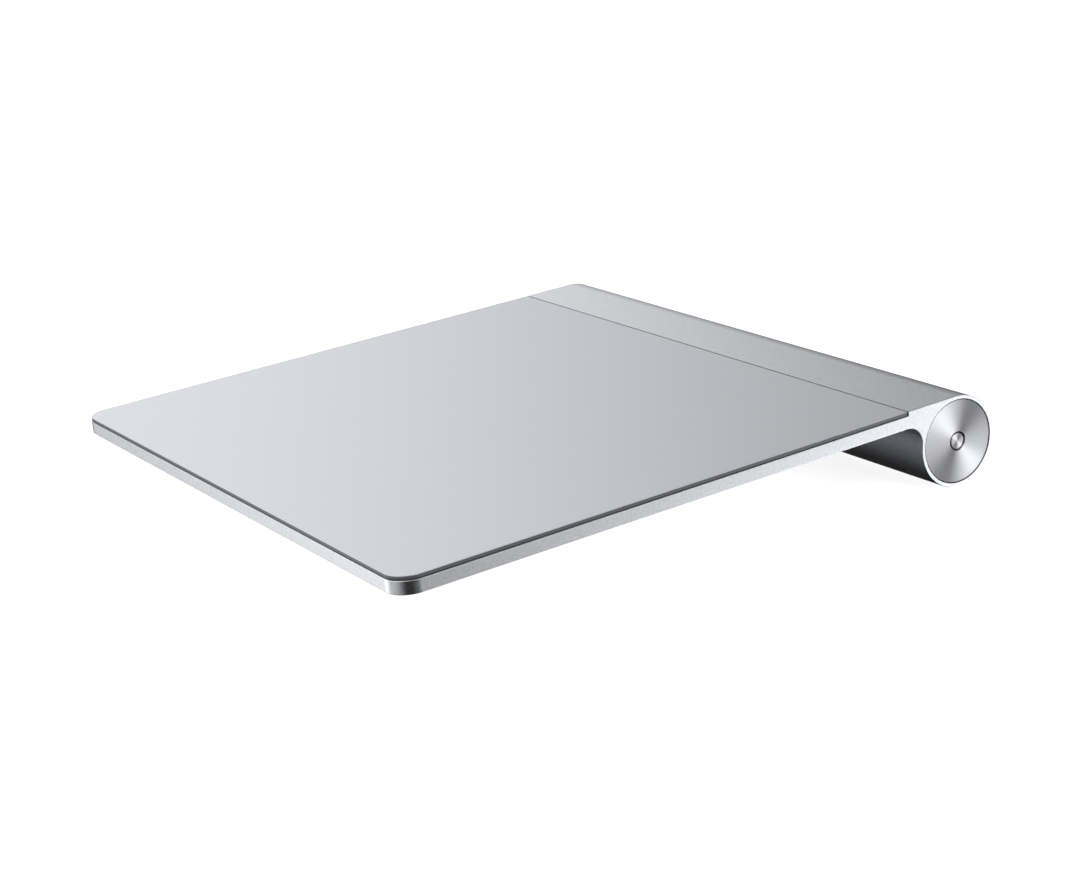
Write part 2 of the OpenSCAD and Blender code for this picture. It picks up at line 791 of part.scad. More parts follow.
// Centre line of the battery spring, a cone-shaped helix of eight points to a turn
spring_steps = ceil(8 * spring_turns);
spring_span = cells_x - spring_end_gap - spring_x - spring_wire;
function spring_point(t) =
    let (turn = 360 * spring_turns * t)
    let (r = spring_wide_radius + (spring_narrow_radius - spring_wide_radius) * t)
    [spring_x + spring_wire / 2 + spring_span * t, r * cos(turn), r * sin(turn)];
spring_line = [for (i = [0:spring_steps]) spring_point(i / spring_steps)];

// Least gap of the spring to itself, between points three quarters of a turn apart or more
spring_gaps = [for (i = [0:spring_steps], j = [i + 6:1:spring_steps])
    norm(spring_line[i] - spring_line[j]) - spring_wire];
echo(spring_least_gap = min(spring_gaps));

// Tube of radius r with the given number of sides along a line of points
module swept_tube(line, r, sides) {
    last = len(line) - 1;
    function heading(i) = line[min(i + 1, last)] - line[max(i - 1, 0)];
    function ring(i) =
        let (d = heading(i) / norm(heading(i)))
        let (u = cross(d, [1, 0, 0]) / norm(cross(d, [1, 0, 0])))
        let (v = cross(d, u))
        [for (k = [0:sides - 1]) line[i] + r * (cos(360 * k / sides) * u + sin(360 * k / sides) * v)];
    points = [for (i = [0:last]) each ring(i)];
    walls = [for (i = [0:last - 1], k = [0:sides - 1])
        let (a = i * sides + k, b = i * sides + (k + 1) % sides)
        each [[a, b, a + sides], [b, b + sides, a + sides]]];
    caps = [for (k = [1:sides - 2])
        each [[0, k + 1, k], [last * sides, last * sides + k, last * sides + k + 1]]];
    polyhedron(points, concat(walls, caps));
}

module battery_spring() {
    color(STEEL) standing() swept_tube(spring_line, spring_wire / 2, 6);
}

aluminium_body();
touch_glass();
glass_adhesive();
touch_sensor_board();
touch_controller_chip();
logic_board();
logic_board_pad();
radio_shield_can();
logic_board_chips();
flex_connectors();
sensor_flex();
power_flex();
click_switch();
click_dome();
click_hinge_pins();
click_lever();
lever_nub();
front_foot_left();
front_foot_right();
bottom_cover();
cover_adhesive();
rear_pad_left();
rear_pad_right();
end_disc();
power_button();
power_switch();
power_switch_plunger();
power_switch_board();
contact_carrier();
positive_contact();
battery_cell_inner();
battery_cell_outer();
battery_cap();
cap_contact_plate();
battery_spring();
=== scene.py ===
"""Looks of the trackpad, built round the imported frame: a bead-blasted aluminium tray under an
etched glass plate, a battery tube with spun ends, and the small pieces inside."""

import json
import math

import bmesh
import bpy
from mathutils import Matrix, Vector


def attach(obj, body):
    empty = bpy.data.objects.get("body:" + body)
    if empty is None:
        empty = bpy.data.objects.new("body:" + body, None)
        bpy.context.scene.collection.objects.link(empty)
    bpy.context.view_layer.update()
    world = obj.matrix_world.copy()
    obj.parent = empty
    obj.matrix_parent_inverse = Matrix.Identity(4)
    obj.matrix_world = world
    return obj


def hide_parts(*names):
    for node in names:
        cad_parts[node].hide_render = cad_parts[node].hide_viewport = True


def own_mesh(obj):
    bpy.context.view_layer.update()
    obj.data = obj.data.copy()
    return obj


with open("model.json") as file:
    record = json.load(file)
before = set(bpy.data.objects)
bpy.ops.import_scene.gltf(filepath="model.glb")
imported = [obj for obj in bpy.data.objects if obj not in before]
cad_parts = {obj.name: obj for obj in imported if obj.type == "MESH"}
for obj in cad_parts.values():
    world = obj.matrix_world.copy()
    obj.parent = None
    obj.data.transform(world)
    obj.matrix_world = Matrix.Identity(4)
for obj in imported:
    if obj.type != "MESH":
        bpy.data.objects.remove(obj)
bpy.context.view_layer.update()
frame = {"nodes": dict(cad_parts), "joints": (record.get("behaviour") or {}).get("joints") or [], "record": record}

# The tray's own axes, in millimetres: X along the tube, Y back, Z square to the glass,
# from the middle of the tube's axis. STANDING puts a point of the tray in the frame, and
# TO_TRAY takes it back.
MM = 0.001
joints = {joint["name"]: joint for joint in frame["joints"]}
tube_axis = Vector(joints["cap_turn"]["pos_m"])
glass_face = max(frame["nodes"]["touch_glass"].data.polygons, key=lambda face: face.area)
tilt = math.atan2(abs(glass_face.normal.y), abs(glass_face.normal.z))
STANDING = (Matrix.Translation(tube_axis) @ Matrix.Rotation(tilt, 4, "X")
            @ Matrix.Scale(MM, 4))
TO_TRAY = STANDING.inverted()
# Turns what rises along Z so that it runs along the tube
ALONG_TUBE = Matrix(((0, 0, 1, 0), (1, 0, 0, 0), (0, 1, 0, 0), (0, 0, 0, 1)))

# Sizes of the solids, as in the part's source
WINDOW_HALF, WINDOW_FRONT, WINDOW_BACK = 62.0, -119.4, -15.32
STRIP_FRONT = -11.9
SEAT_RADIUS = 8.28
END_RADIUS = 8.18
END_FACE, DISC_BACK = 64.9, 63.7
BUTTON_HOLE, BUTTON_RADIUS, BUTTON_FACE = 1.9, 1.6, 64.85
FLANGE_RADIUS, FLANGE_BACK, FLANGE_FRONT = 2.65, 62.75, 63.65
STEM_RADIUS, STEM_BACK = 1.2, 61.95
EDGE_BREAK = 0.12
NECK_END, NECK_RADIUS, CUP_RADIUS = -60.1, 7.85, 6.65
SLOT_LENGTH, SLOT_WIDTH, SLOT_DEPTH = 11.0, 1.7, 0.7
SPRING_START, SPRING_END, SPRING_WIRE, SPRING_TURNS = -63.2, -57.7, 0.6, 3.5
SPRING_WIDE, SPRING_NARROW = 4.6, 2.6
CELLS_START, CELL_LENGTH, CELL_NUB, CELL_CRIMP = -57.6, 50.5, 1.0, 0.8

# Sizes of the detail that only the looks have: broken edges, how far the coin slot's cutter
# stands out and its steps round each end, the thread, and where a cell's copper band starts
TRAY_EDGE, GLASS_ARRIS, DOME_EDGE = 0.14, 0.1, 0.01
HOLE_BREAK, NECK_CHAMFER = 0.06, 0.2
SLOT_CLEAR, SLOT_STEPS = 1.0, 16
THREAD_START, THREAD_PITCH, THREAD_DEPTH, THREAD_TURNS = -63.15, 1.25, 0.4, 2.0
THREAD_SINK = 0.03
CELL_BAND = 0.72 * CELL_LENGTH
# Shares of the pitch at the thread's root and crest, of its length that a run-out takes, and of
# its size where it ends
THREAD_ROOT, THREAD_CREST, THREAD_RUN_OUT, THREAD_TIP = 0.85, 0.2, 0.12, 0.02

# Faces within FLAT of each other are one face, and edges past CREASE are sharp
FLAT, CREASE = math.radians(0.5), math.radians(28)
# Points within WELD of each other are one point, edges under SLIVER are merged away, and points
# within NEAR of a size lie on it, in millimetres
WELD, SLIVER, NEAR = 0.0001, 0.001, 0.05
# Faces of the glass whose normals rise more than this are its satin face and arris
SATIN_RISE = 0.3


def linear(colour):
    """An sRGB hex colour as linear red, green, blue and alpha."""
    parts = [int(colour[i:i + 2], 16) / 255 for i in (1, 3, 5)]
    return (*[p / 12.92 if p <= 0.04045 else ((p + 0.055) / 1.055) ** 2.4 for p in parts], 1.0)


def add(tree, kind, settings=None, values=None, links=None):
    """Adds a node with its settings, its sockets' own values and the sockets linked to it."""
    node = tree.nodes.new(kind)
    for name, value in (settings or {}).items():
        setattr(node, name, value)
    for socket, value in (values or {}).items():
        node.inputs[socket].default_value = value
    for socket, source in (links or {}).items():
        tree.links.new(source, node.inputs[socket])
    return node


def finish(name, constants, pattern):
    """A material: constants are the shader's own values, pattern(tree, point) gives its links."""
    material = bpy.data.materials.new(name)
    material.use_nodes = True
    tree = material.node_tree
    tree.nodes.clear()
    point = add(tree, "ShaderNodeTexCoord").outputs["Object"]
    shader = add(tree, "ShaderNodeBsdfPrincipled", values=constants, links=pattern(tree, point))
    add(tree, "ShaderNodeOutputMaterial", links={"Surface": shader.outputs[0]})
    return material


def per_metre(size):
    """Scale of a texture whose features are this many millimetres wide."""
    return 1 / (size * MM)


def surface(tree, height, tones, roughness, relief):
    """Links for a surface that one height drives: two tones, which are sockets 6 and 7 of a Mix
    node, a range of roughness, and a relief in millimetres."""
    tone = add(tree, "ShaderNodeMix", {"data_type": "RGBA"},
               {6: linear(tones[0]), 7: linear(tones[1])}, {0: height})
    rough = add(tree, "ShaderNodeMapRange",
                values={"To Min": roughness[0], "To Max": roughness[1]}, links={"Value": height})
    bump = add(tree, "ShaderNodeBump", values={"Distance": relief * MM}, links={"Height": height})
    return {"Base Color": tone.outputs[2], "Roughness": rough.outputs[0],
            "Normal": bump.outputs[0]}


def grain(size, tones, roughness, relief, stretch=(1, 1, 1)):
    """Pattern of an even grain of this size in millimetres, drawn out along stretched axes."""
    def pattern(tree, point):
        drawn = add(tree, "ShaderNodeMapping", values={"Scale": [1 / s for s in stretch]},
                    links={"Vector": point})
        noise = add(tree, "ShaderNodeTexNoise",
                    values={"Scale": per_metre(size), "Detail": 3.0, "Roughness": 0.6},
                    links={"Vector": drawn.outputs[0]})
        return surface(tree, noise.outputs[0], tones, roughness, relief)
    return pattern


def radius_from_axis(tree, point):
    """Distance of a point from the tube's axis, in metres."""
    centred = add(tree, "ShaderNodeMapping",
                  values={"Location": (0, -tube_axis.y, -tube_axis.z), "Scale": (0, 1, 1)},
                  links={"Vector": point})
    return add(tree, "ShaderNodeVectorMath", {"operation": "LENGTH"},
               links={0: centred.outputs[0]}).outputs["Value"]


def spun_rings(tree, point):
    """Rings that the turning tool leaves, about 0.05 mm apart, drawn at 0.12 mm so they show."""
    rings = add(tree, "ShaderNodeTexNoise", {"noise_dimensions": "1D"},
                {"Scale": per_metre(0.12), "Detail": 2.0},
                {"W": radius_from_axis(tree, point)})
    along = add(tree, "ShaderNodeTangent", {"direction_type": "UV_MAP", "uv_map": "turning"})
    links = surface(tree, rings.outputs[0], ("#BFBFC0", "#CACACB"), (0.34, 0.42), 0.001)
    return {**links, "Tangent": along.outputs[0]}


def board_traces(tree, point):
    """Copper under solder mask: a brickwork of pads 1.6 by 0.8 mm, with paler traces between."""
    turned_flat = add(tree, "ShaderNodeMapping", values={"Rotation": (-tilt, 0, 0)},
                      links={"Vector": point})
    traces = add(tree, "ShaderNodeTexBrick", {"offset": 0.5, "squash": 1.0},
                 {"Scale": per_metre(1.8), "Mortar Size": 0.12, "Mortar Smooth": 0.2,
                  "Brick Width": 0.9, "Row Height": 0.45, "Bias": -0.3},
                 {"Vector": turned_flat.outputs[0]})
    return surface(tree, traces.outputs["Fac"], ("#12472F", "#1E6A45"), (0.28, 0.4), 0.02)


def cable_strips(tree, point):
    """Copper strips, 0.5 mm wide and as far apart, that show through an amber polyimide film. A
    wave has 20 radians to a unit, and half a turn of it is one strip."""
    strips = add(tree, "ShaderNodeTexWave", {"bands_direction": "X", "wave_profile": "SIN"},
                 {"Scale": per_metre(0.5) / 20 * math.pi}, {"Vector": point})
    return surface(tree, strips.outputs["Fac"], ("#8A4B12", "#C9862E"), (0.25, 0.4), 0.01)


def open_cells(tree, point):
    """Open foam cells about 0.3 mm across."""
    cells = add(tree, "ShaderNodeTexVoronoi", values={"Scale": per_metre(0.3)},
                links={"Vector": point})
    return surface(tree, cells.outputs["Distance"], ("#0E0E0F", "#2C2C2E"), (0.8, 0.95), 0.12)


def cell_sleeve(tree, point):
    """Shrunk film on an AA cell: graphite with a copper band at the nub's end, bare steel at the
    crimped ends."""
    place = add(tree, "ShaderNodeSeparateXYZ", links={0: point}).outputs["X"]
    start = add(tree, "ShaderNodeMath", {"operation": "SUBTRACT"}, {1: CELLS_START * MM},
                {0: place}).outputs[0]
    along = add(tree, "ShaderNodeMath", {"operation": "FLOORED_MODULO"}, {1: CELL_LENGTH * MM},
                {0: start}).outputs[0]
    band = add(tree, "ShaderNodeMath", {"operation": "GREATER_THAN"}, {1: CELL_BAND * MM},
               {0: along}).outputs[0]
    half = (CELL_LENGTH - CELL_NUB) / 2
    middle = add(tree, "ShaderNodeMath", {"operation": "COMPARE"},
                 {1: half * MM, 2: (half - CELL_CRIMP) * MM}, {0: along}).outputs[0]
    fleck = add(tree, "ShaderNodeTexNoise", values={"Scale": per_metre(0.4), "Detail": 2.0},
                links={"Vector": point})
    film = add(tree, "ShaderNodeMix", {"data_type": "RGBA"},
               {6: linear("#26282B"), 7: linear("#A9683A")}, {0: band})
    links = surface(tree, fleck.outputs[0], ("#A3A5A7", "#B9BBBD"), (0.2, 0.32), 0.004)
    colour = add(tree, "ShaderNodeMix", {"data_type": "RGBA"},
                 links={0: middle, 6: links["Base Color"], 7: film.outputs[2]})
    return {**links, "Base Color": colour.outputs[2]}


# Each finish is the real material and how its surface was made, by the record's slot
FINISHES = {
    # Anodised aluminium, bead-blasted: an even silver grain that spreads every highlight.
    # The grain is about 0.08 mm, drawn at 0.5 mm so that it shows.
    "blasted_aluminium": finish("anodised_aluminium_bead_blasted", {"Metallic": 1.0},
                                grain(0.5, ("#C4C5C5", "#F6F7F7"), (0.28, 0.36), 0.02)),
    # Anodised aluminium, spun on a lathe: bright wedges that turn round the middle
    "spun_aluminium": finish("anodised_aluminium_lathe_spun",
                             {"Metallic": 1.0, "Anisotropic": 1.0, "Anisotropic Rotation": 0.25},
                             spun_rings),
    # Glass, acid-etched over silver-grey paint: a satin sheen with no sharp reflection
    "touch_glass": finish("glass_acid_etched_silver_backed",
                          {"Metallic": 0.85, "Coat Weight": 0.35, "Coat Roughness": 0.4,
                           "Coat IOR": 1.52},
                          grain(0.35, ("#D0D1D2", "#D6D7D8"), (0.38, 0.42), 0.001)),
    # Acrylic foam tape, rolled: dull black
    "adhesive": finish("acrylic_tape_rolled", {},
                       grain(0.8, ("#151516", "#1F1F21"), (0.55, 0.7), 0.01)),
    # Glass-epoxy board, etched and solder-masked: glossy green with the copper showing through
    "circuit_board": finish("glass_epoxy_board_solder_masked", {"Coat Weight": 0.3}, board_traces),
    # Epoxy and black nylon, moulded: a fine matt skin
    "black_plastic": finish("black_nylon_moulded", {},
                            grain(0.25, ("#141415", "#1E1E20"), (0.4, 0.55), 0.008)),
    # White nylon, moulded: slightly warm, with a soft shine
    "white_plastic": finish("white_nylon_moulded", {"Subsurface Weight": 0.05},
                            grain(0.3, ("#E3E2DD", "#ECEBE6"), (0.35, 0.5), 0.006)),
    # ABS, moulded in a spark-eroded tool: white with a fine dull grain
    "cover_plastic": finish("white_abs_spark_grained", {},
                            grain(0.45, ("#E2E2DF", "#ECECEA"), (0.42, 0.56), 0.02)),
    # Polyurethane foam, cut from sheet: black and dull, with open cells
    "foam": finish("polyurethane_foam_cut", {}, open_cells),
    # Polyimide cable, laminated: amber film over copper strips
    "flat_cable": finish("polyimide_cable_laminated", {"Coat Weight": 0.4}, cable_strips),
    # Silicone rubber, moulded: pale grey and matt, with a soft bloom
    "foot_rubber": finish("silicone_rubber_moulded", {"Sheen Weight": 0.15},
                          grain(0.5, ("#B4B4B1", "#C2C2BF"), (0.6, 0.75), 0.015)),
    # Stainless steel, rolled and stamped: a fine grain along the strip
    "steel": finish("stainless_steel_stamped", {"Metallic": 1.0},
                    grain(0.1, ("#9C9EA0", "#B6B8BA"), (0.22, 0.36), 0.004, (30, 1, 1))),
    # Brass, stamped and bright-dipped: yellow with a soft shine
    "contact_brass": finish("brass_stamped", {"Metallic": 1.0},
                            grain(0.12, ("#BD9A52", "#D4B46C"), (0.2, 0.34), 0.004, (12, 1, 1))),
    # Printed film on steel, shrunk: dark and glossy, bare bright metal at both ends
    "cell_jacket": finish("film_sleeve_on_steel_shrunk", {"Metallic": 0.8, "Coat Weight": 0.5},
                          cell_sleeve),
}
# Glass, ground edge: the plate's grey side, which shows the paint and tape behind it
glass_edge = finish("glass_ground_edge", {"IOR": 1.52},
                    grain(0.15, ("#5C5E62", "#6E7074"), (0.3, 0.4), 0.003))
# Anodised aluminium of the tube's bore and the end disc's rim, painted dark grey as the shade in the bore and in
# the gap round the disc, which little light reaches
bore_painted_shade = finish("anodised_aluminium_bore_painted_shade", {"Metallic": 1.0},
               grain(0.2, ("#4A4B4D", "#5A5B5D"), (0.4, 0.5), 0.004, (1, 6, 6)))
# Anodised aluminium, milled: the coin slot's floor and walls, painted darker as the shade in the slot, with fine
# marks along it
slot_painted_shade = finish("anodised_aluminium_slot_painted_shade", {"Metallic": 1.0},
                grain(0.15, ("#606163", "#747577"), (0.36, 0.46), 0.004, (1, 8, 1)))
# Anodised aluminium, thread cut on a lathe: bright flanks with tool marks round them
cut_thread = finish("anodised_aluminium_cut_thread", {"Metallic": 1.0},
                    grain(0.1, ("#BFC1C3", "#D6D7D9"), (0.22, 0.34), 0.004, (1, 8, 8)))


def place(name, mesh, materials, body, slot, node=None):
    """Makes a finished piece of a mesh in the frame: smooth, weighted to its large faces, riding
    on its body, and standing for its CAD node."""
    for material in materials:
        mesh.materials.append(material)
    if mesh.has_custom_normals:
        mesh.attributes.remove(mesh.attributes["custom_normal"])
    mesh.shade_smooth()
    mesh.set_sharp_from_angle(angle=CREASE)
    piece = bpy.data.objects.new(name, mesh)
    bpy.context.scene.collection.objects.link(piece)
    weighted = piece.modifiers.new("flat faces stay flat", "WEIGHTED_NORMAL")
    weighted.keep_sharp = True
    settle(piece)
    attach(piece, body)
    if node:
        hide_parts(node)
    return piece


def settle(piece):
    """Turns what a piece's modifiers make into its own plain mesh."""
    graph = bpy.context.evaluated_depsgraph_get()
    mesh = bpy.data.meshes.new_from_object(piece.evaluated_get(graph))
    piece.modifiers.clear()
    piece.data = mesh
    mesh.name = piece.name


def to_mesh(name, shape):
    """A mesh in the frame of a shape that was built in the tray's millimetres."""
    mesh = bpy.data.meshes.new(name)
    shape.to_mesh(mesh)
    shape.free()
    mesh.transform(STANDING)
    return mesh


def softened(node, width, segments, shows=lambda point: True):
    """A copy of a CAD solid, in the tray's millimetres, with the sharp edges that show rounded."""
    shape = bmesh.new()
    shape.from_mesh(frame["nodes"][node].data)
    bmesh.ops.transform(shape, matrix=TO_TRAY, verts=shape.verts)
    bmesh.ops.remove_doubles(shape, verts=shape.verts, dist=WELD)
    bmesh.ops.dissolve_limit(shape, angle_limit=FLAT, verts=shape.verts, edges=shape.edges)
    edges = [edge for edge in shape.edges if edge.calc_face_angle(0) > CREASE
             and shows((edge.verts[0].co + edge.verts[1].co) / 2)]
    bmesh.ops.bevel(shape, geom=edges, offset=width, offset_type="OFFSET", segments=segments,
                    profile=0.5, affect="EDGES", clamp_overlap=True)
    return shape


def turned(outline, sides=144):
    """A solid of revolution about the tube's axis, in the tray's millimetres. The outline is a
    run of (x, radius) points, closed on itself or on the axis; its UV map runs round the axis."""
    shape = bmesh.new()
    uv = shape.loops.layers.uv.new("turning")
    steps = [2 * math.pi * k / sides for k in range(sides)]
    rings = [[shape.verts.new((x, r * math.cos(a), r * math.sin(a))) for a in steps] if r > 0
             else [shape.verts.new((x, 0, 0))] for x, r in outline]
    pairs = list(zip(range(len(rings) - 1), range(1, len(rings))))
    if outline[0][1] > 0:
        pairs.append((len(rings) - 1, 0))
    for row, (i, j) in enumerate(pairs):
        for k in range(sides):
            corners = []
            for ring, step, side in ((i, k, 0), (i, k + 1, 0), (j, k + 1, 1), (j, k, 1)):
                vert = rings[ring][step % len(rings[ring])]
                if vert not in [corner[0] for corner in corners]:
                    corners.append((vert, step, side))
            face = shape.faces.new([corner[0] for corner in corners])
            for loop, (_, step, side) in zip(face.loops, corners):
                loop[uv].uv = (step / sides, (row + side) / len(outline))
    bmesh.ops.recalc_face_normals(shape, faces=shape.faces)
    return shape


def spun_face(x, outward, inner, outer, pitch=0.4, depth=0.004):
    """Outline of a spun face from its rim to its middle: shallow rings that the tool left, about
    0.05 mm apart on the real one and drawn wider so that they show."""
    count = 2 * round((outer - inner) / pitch)
    return [(x - outward * depth * (k % 2), outer + (inner - outer) * k / count)
            for k in range(count + 1)]


def from_axis(point):
    """Distance of a point of the tray from the tube's axis, in millimetres."""
    return math.hypot(point.y, point.z)


def outside(point):
    """Whether an edge of the tray shows from outside: not in its window, its bore or its seam."""
    in_window = (abs(point.x) < WINDOW_HALF + NEAR
                 and WINDOW_FRONT - NEAR < point.y < WINDOW_BACK + NEAR)
    in_bore = from_axis(point) < SEAT_RADIUS + NEAR
    in_seam = abs(point.y - STRIP_FRONT) < NEAR and abs(point.x) < WINDOW_HALF
    return not (in_window or in_bore or in_seam)


# Tray: blasting breaks the metal's outer edges, and the bore inside it is painted dark grey as shade
shell = softened("aluminium_body", TRAY_EDGE, 3, outside)
for face in shell.faces:
    face.material_index = int(all(from_axis(vert.co) < SEAT_RADIUS + NEAR for vert in face.verts))
place("tray_shell", to_mesh("tray_shell", shell), [FINISHES["blasted_aluminium"], bore_painted_shade], "body",
      "blasted_aluminium", "aluminium_body")

# Glass plate: satin face and arris, grey ground sides
plate = softened("touch_glass", GLASS_ARRIS, 2)
for face in plate.faces:
    face.material_index = 0 if face.normal.z > SATIN_RISE else 1
place("glass_plate", to_mesh("glass_plate", plate),
      [FINISHES["touch_glass"], glass_edge], "body", "touch_glass", "touch_glass")

# Solids with their edges rounded: the cover, the two clicking feet at the front, the two pads
# under the tube, and what is drawn, moulded or cut inside
for node, piece_name, width, body, slot in (
        ("bottom_cover", "underside_cover", 0.1, "body", "cover_plastic"),
        ("front_foot_left", "clicking_foot_left", 0.35, "click", "foot_rubber"),
        ("front_foot_right", "clicking_foot_right", 0.35, "click", "foot_rubber"),
        ("rear_pad_left", "tube_pad_left", 0.12, "body", "foot_rubber"),
        ("rear_pad_right", "tube_pad_right", 0.12, "body", "foot_rubber"),
        ("radio_shield_can", "drawn_shield_can", 0.25, "body", "steel"),
        ("touch_controller_chip", "moulded_controller", 0.08, "body", "black_plastic"),
        ("logic_board_chips", "moulded_chips", 0.08, "body", "black_plastic"),
        ("flex_connectors", "moulded_connectors", 0.1, "body", "white_plastic"),
        ("logic_board_pad", "cut_foam_pad", 0.06, "body", "foam")):
    place(piece_name, to_mesh(piece_name, softened(node, width, 3)), [FINISHES[slot]], body,
          slot, node)

# Disc that closes the right-hand end of the tube, its rim painted dark grey as the shade in the gap round it
disc = turned([(DISC_BACK, BUTTON_HOLE), (DISC_BACK, END_RADIUS),
               (END_FACE - EDGE_BREAK, END_RADIUS)]
              + spun_face(END_FACE, 1, BUTTON_HOLE + HOLE_BREAK, END_RADIUS - EDGE_BREAK)
              + [(END_FACE - HOLE_BREAK, BUTTON_HOLE)])
for face in disc.faces:
    face.material_index = int(all(from_axis(vert.co) > END_RADIUS - EDGE_BREAK - NEAR
                                  for vert in face.verts))
place("tube_end_disc", to_mesh("tube_end_disc", disc), [FINISHES["spun_aluminium"], bore_painted_shade],
      "body", "spun_aluminium", "end_disc")

# Power button in the middle of that disc
button = turned([(STEM_BACK, 0), (STEM_BACK, STEM_RADIUS), (FLANGE_BACK, STEM_RADIUS),
                 (FLANGE_BACK, FLANGE_RADIUS), (FLANGE_FRONT, FLANGE_RADIUS),
                 (FLANGE_FRONT, BUTTON_RADIUS), (BUTTON_FACE - EDGE_BREAK, BUTTON_RADIUS)]
                + spun_face(BUTTON_FACE, 1, 0, BUTTON_RADIUS - EDGE_BREAK), sides=72)
place("power_button_face", to_mesh("power_button_face", button), [FINISHES["spun_aluminium"]],
      "button", "spun_aluminium", "power_button")

# Screw cap at the left-hand end, with its coin slot milled across the spun face and painted darker inside as shade
thread_root = NECK_RADIUS - THREAD_DEPTH
cap = turned([(-DISC_BACK, 0), (-DISC_BACK, CUP_RADIUS), (NECK_END, CUP_RADIUS),
              (NECK_END, thread_root - NECK_CHAMFER), (NECK_END - NECK_CHAMFER, thread_root),
              (-DISC_BACK, thread_root), (-DISC_BACK, END_RADIUS),
              (EDGE_BREAK - END_FACE, END_RADIUS)]
             + spun_face(-END_FACE, -1, 0, END_RADIUS - EDGE_BREAK))
cutter = bmesh.new()
reach, end_radius = (SLOT_LENGTH - SLOT_WIDTH) / 2, SLOT_WIDTH / 2
half_turn = [math.pi * k / SLOT_STEPS for k in range(SLOT_STEPS + 1)]
rim = [cutter.verts.new((-END_FACE - SLOT_CLEAR, side * (reach + end_radius * math.sin(turn)),
                         side * end_radius * math.cos(turn)))
       for side in (1, -1) for turn in half_turn]
floor_of_slot = bmesh.ops.extrude_face_region(cutter, geom=[cutter.faces.new(rim)])["geom"]
bmesh.ops.translate(cutter, vec=(SLOT_CLEAR + SLOT_DEPTH, 0, 0),
                    verts=[v for v in floor_of_slot if isinstance(v, bmesh.types.BMVert)])
bmesh.ops.recalc_face_normals(cutter, faces=cutter.faces)
slot_tool = bpy.data.objects.new("slot_tool", to_mesh("slot_tool", cutter))
bpy.context.scene.collection.objects.link(slot_tool)
blank = bpy.data.objects.new("cap_blank", to_mesh("cap_blank", cap))
bpy.context.scene.collection.objects.link(blank)
cut = blank.modifiers.new("coin slot", "BOOLEAN")
cut.operation, cut.solver, cut.object = "DIFFERENCE", "EXACT", slot_tool
settle(blank)
cap_mesh = blank.data
cap = bmesh.new()
cap.from_mesh(cap_mesh)
bmesh.ops.remove_doubles(cap, verts=cap.verts, dist=SLIVER * MM)
for face in cap.faces:
    middle = TO_TRAY @ face.calc_center_median()
    face.material_index = int(NEAR < middle.x + END_FACE < SLOT_DEPTH + NEAR
                              and abs(middle.y) < SLOT_LENGTH / 2 + NEAR
                              and abs(middle.z) < SLOT_WIDTH / 2 + NEAR)
cap.to_mesh(cap_mesh)
cap.free()
bpy.data.objects.remove(blank)
bpy.data.objects.remove(slot_tool)
place("screw_cap", cap_mesh, [FINISHES["spun_aluminium"], slot_painted_shade], "cap", "spun_aluminium",
      "battery_cap")


def grown(name, sizes, build, material, at):
    """A mesh made by a Geometry Nodes tree. Sizes are its named inputs in millimetres or counts,
    build(tree, inputs) gives its geometry, and at places it in the frame."""
    tree = bpy.data.node_groups.new(name, "GeometryNodeTree")
    tree.interface.new_socket("Geometry", in_out="OUTPUT", socket_type="NodeSocketGeometry")
    keys = {label: tree.interface.new_socket(
        label, in_out="INPUT",
        socket_type="NodeSocketInt" if isinstance(size, int) else "NodeSocketFloat").identifier
        for label, size in sizes.items()}
    shape = build(tree, add(tree, "NodeGroupInput").outputs)
    whole = add(tree, "GeometryNodeRealizeInstances", links={0: shape})
    painted = add(tree, "GeometryNodeSetMaterial", values={"Material": material},
                  links={"Geometry": whole.outputs[0]})
    add(tree, "NodeGroupOutput", links={0: painted.outputs[0]})
    holder = bpy.data.objects.new(name, bpy.data.meshes.new(name))
    bpy.context.scene.collection.objects.link(holder)
    nodes = holder.modifiers.new(name, "NODES")
    nodes.node_group = tree
    for label, size in sizes.items():
        nodes[keys[label]] = size
    settle(holder)
    mesh = holder.data
    bpy.data.objects.remove(holder)
    mesh.transform(at)
    return mesh


def wound_wire(tree, inputs):
    """Wire that follows a cone-shaped helix."""
    helix = add(tree, "GeometryNodeCurveSpiral", values={"Reverse": True}, links={
        key: inputs[key] for key in ("Resolution", "Rotations", "Start Radius", "End Radius",
                                     "Height")})
    round_wire = add(tree, "GeometryNodeCurvePrimitiveCircle", values={"Resolution": 12},
                     links={"Radius": inputs["Wire Radius"]})
    return add(tree, "GeometryNodeCurveToMesh", values={"Fill Caps": True},
               links={"Curve": helix.outputs[0], "Profile Curve": round_wire.outputs[0]}).outputs[0]


spring = grown("cap_spring", {"Resolution": 48, "Rotations": SPRING_TURNS,
                              "Start Radius": SPRING_WIDE, "End Radius": SPRING_NARROW,
                              "Height": SPRING_END - SPRING_START - SPRING_WIRE,
                              "Wire Radius": SPRING_WIRE / 2},
               wound_wire, FINISHES["steel"],
               STANDING @ Matrix.Translation((SPRING_START + SPRING_WIRE / 2, 0, 0)) @ ALONG_TUBE)
place("cap_spring", spring, [], "cap_carriage", "steel", "battery_spring")


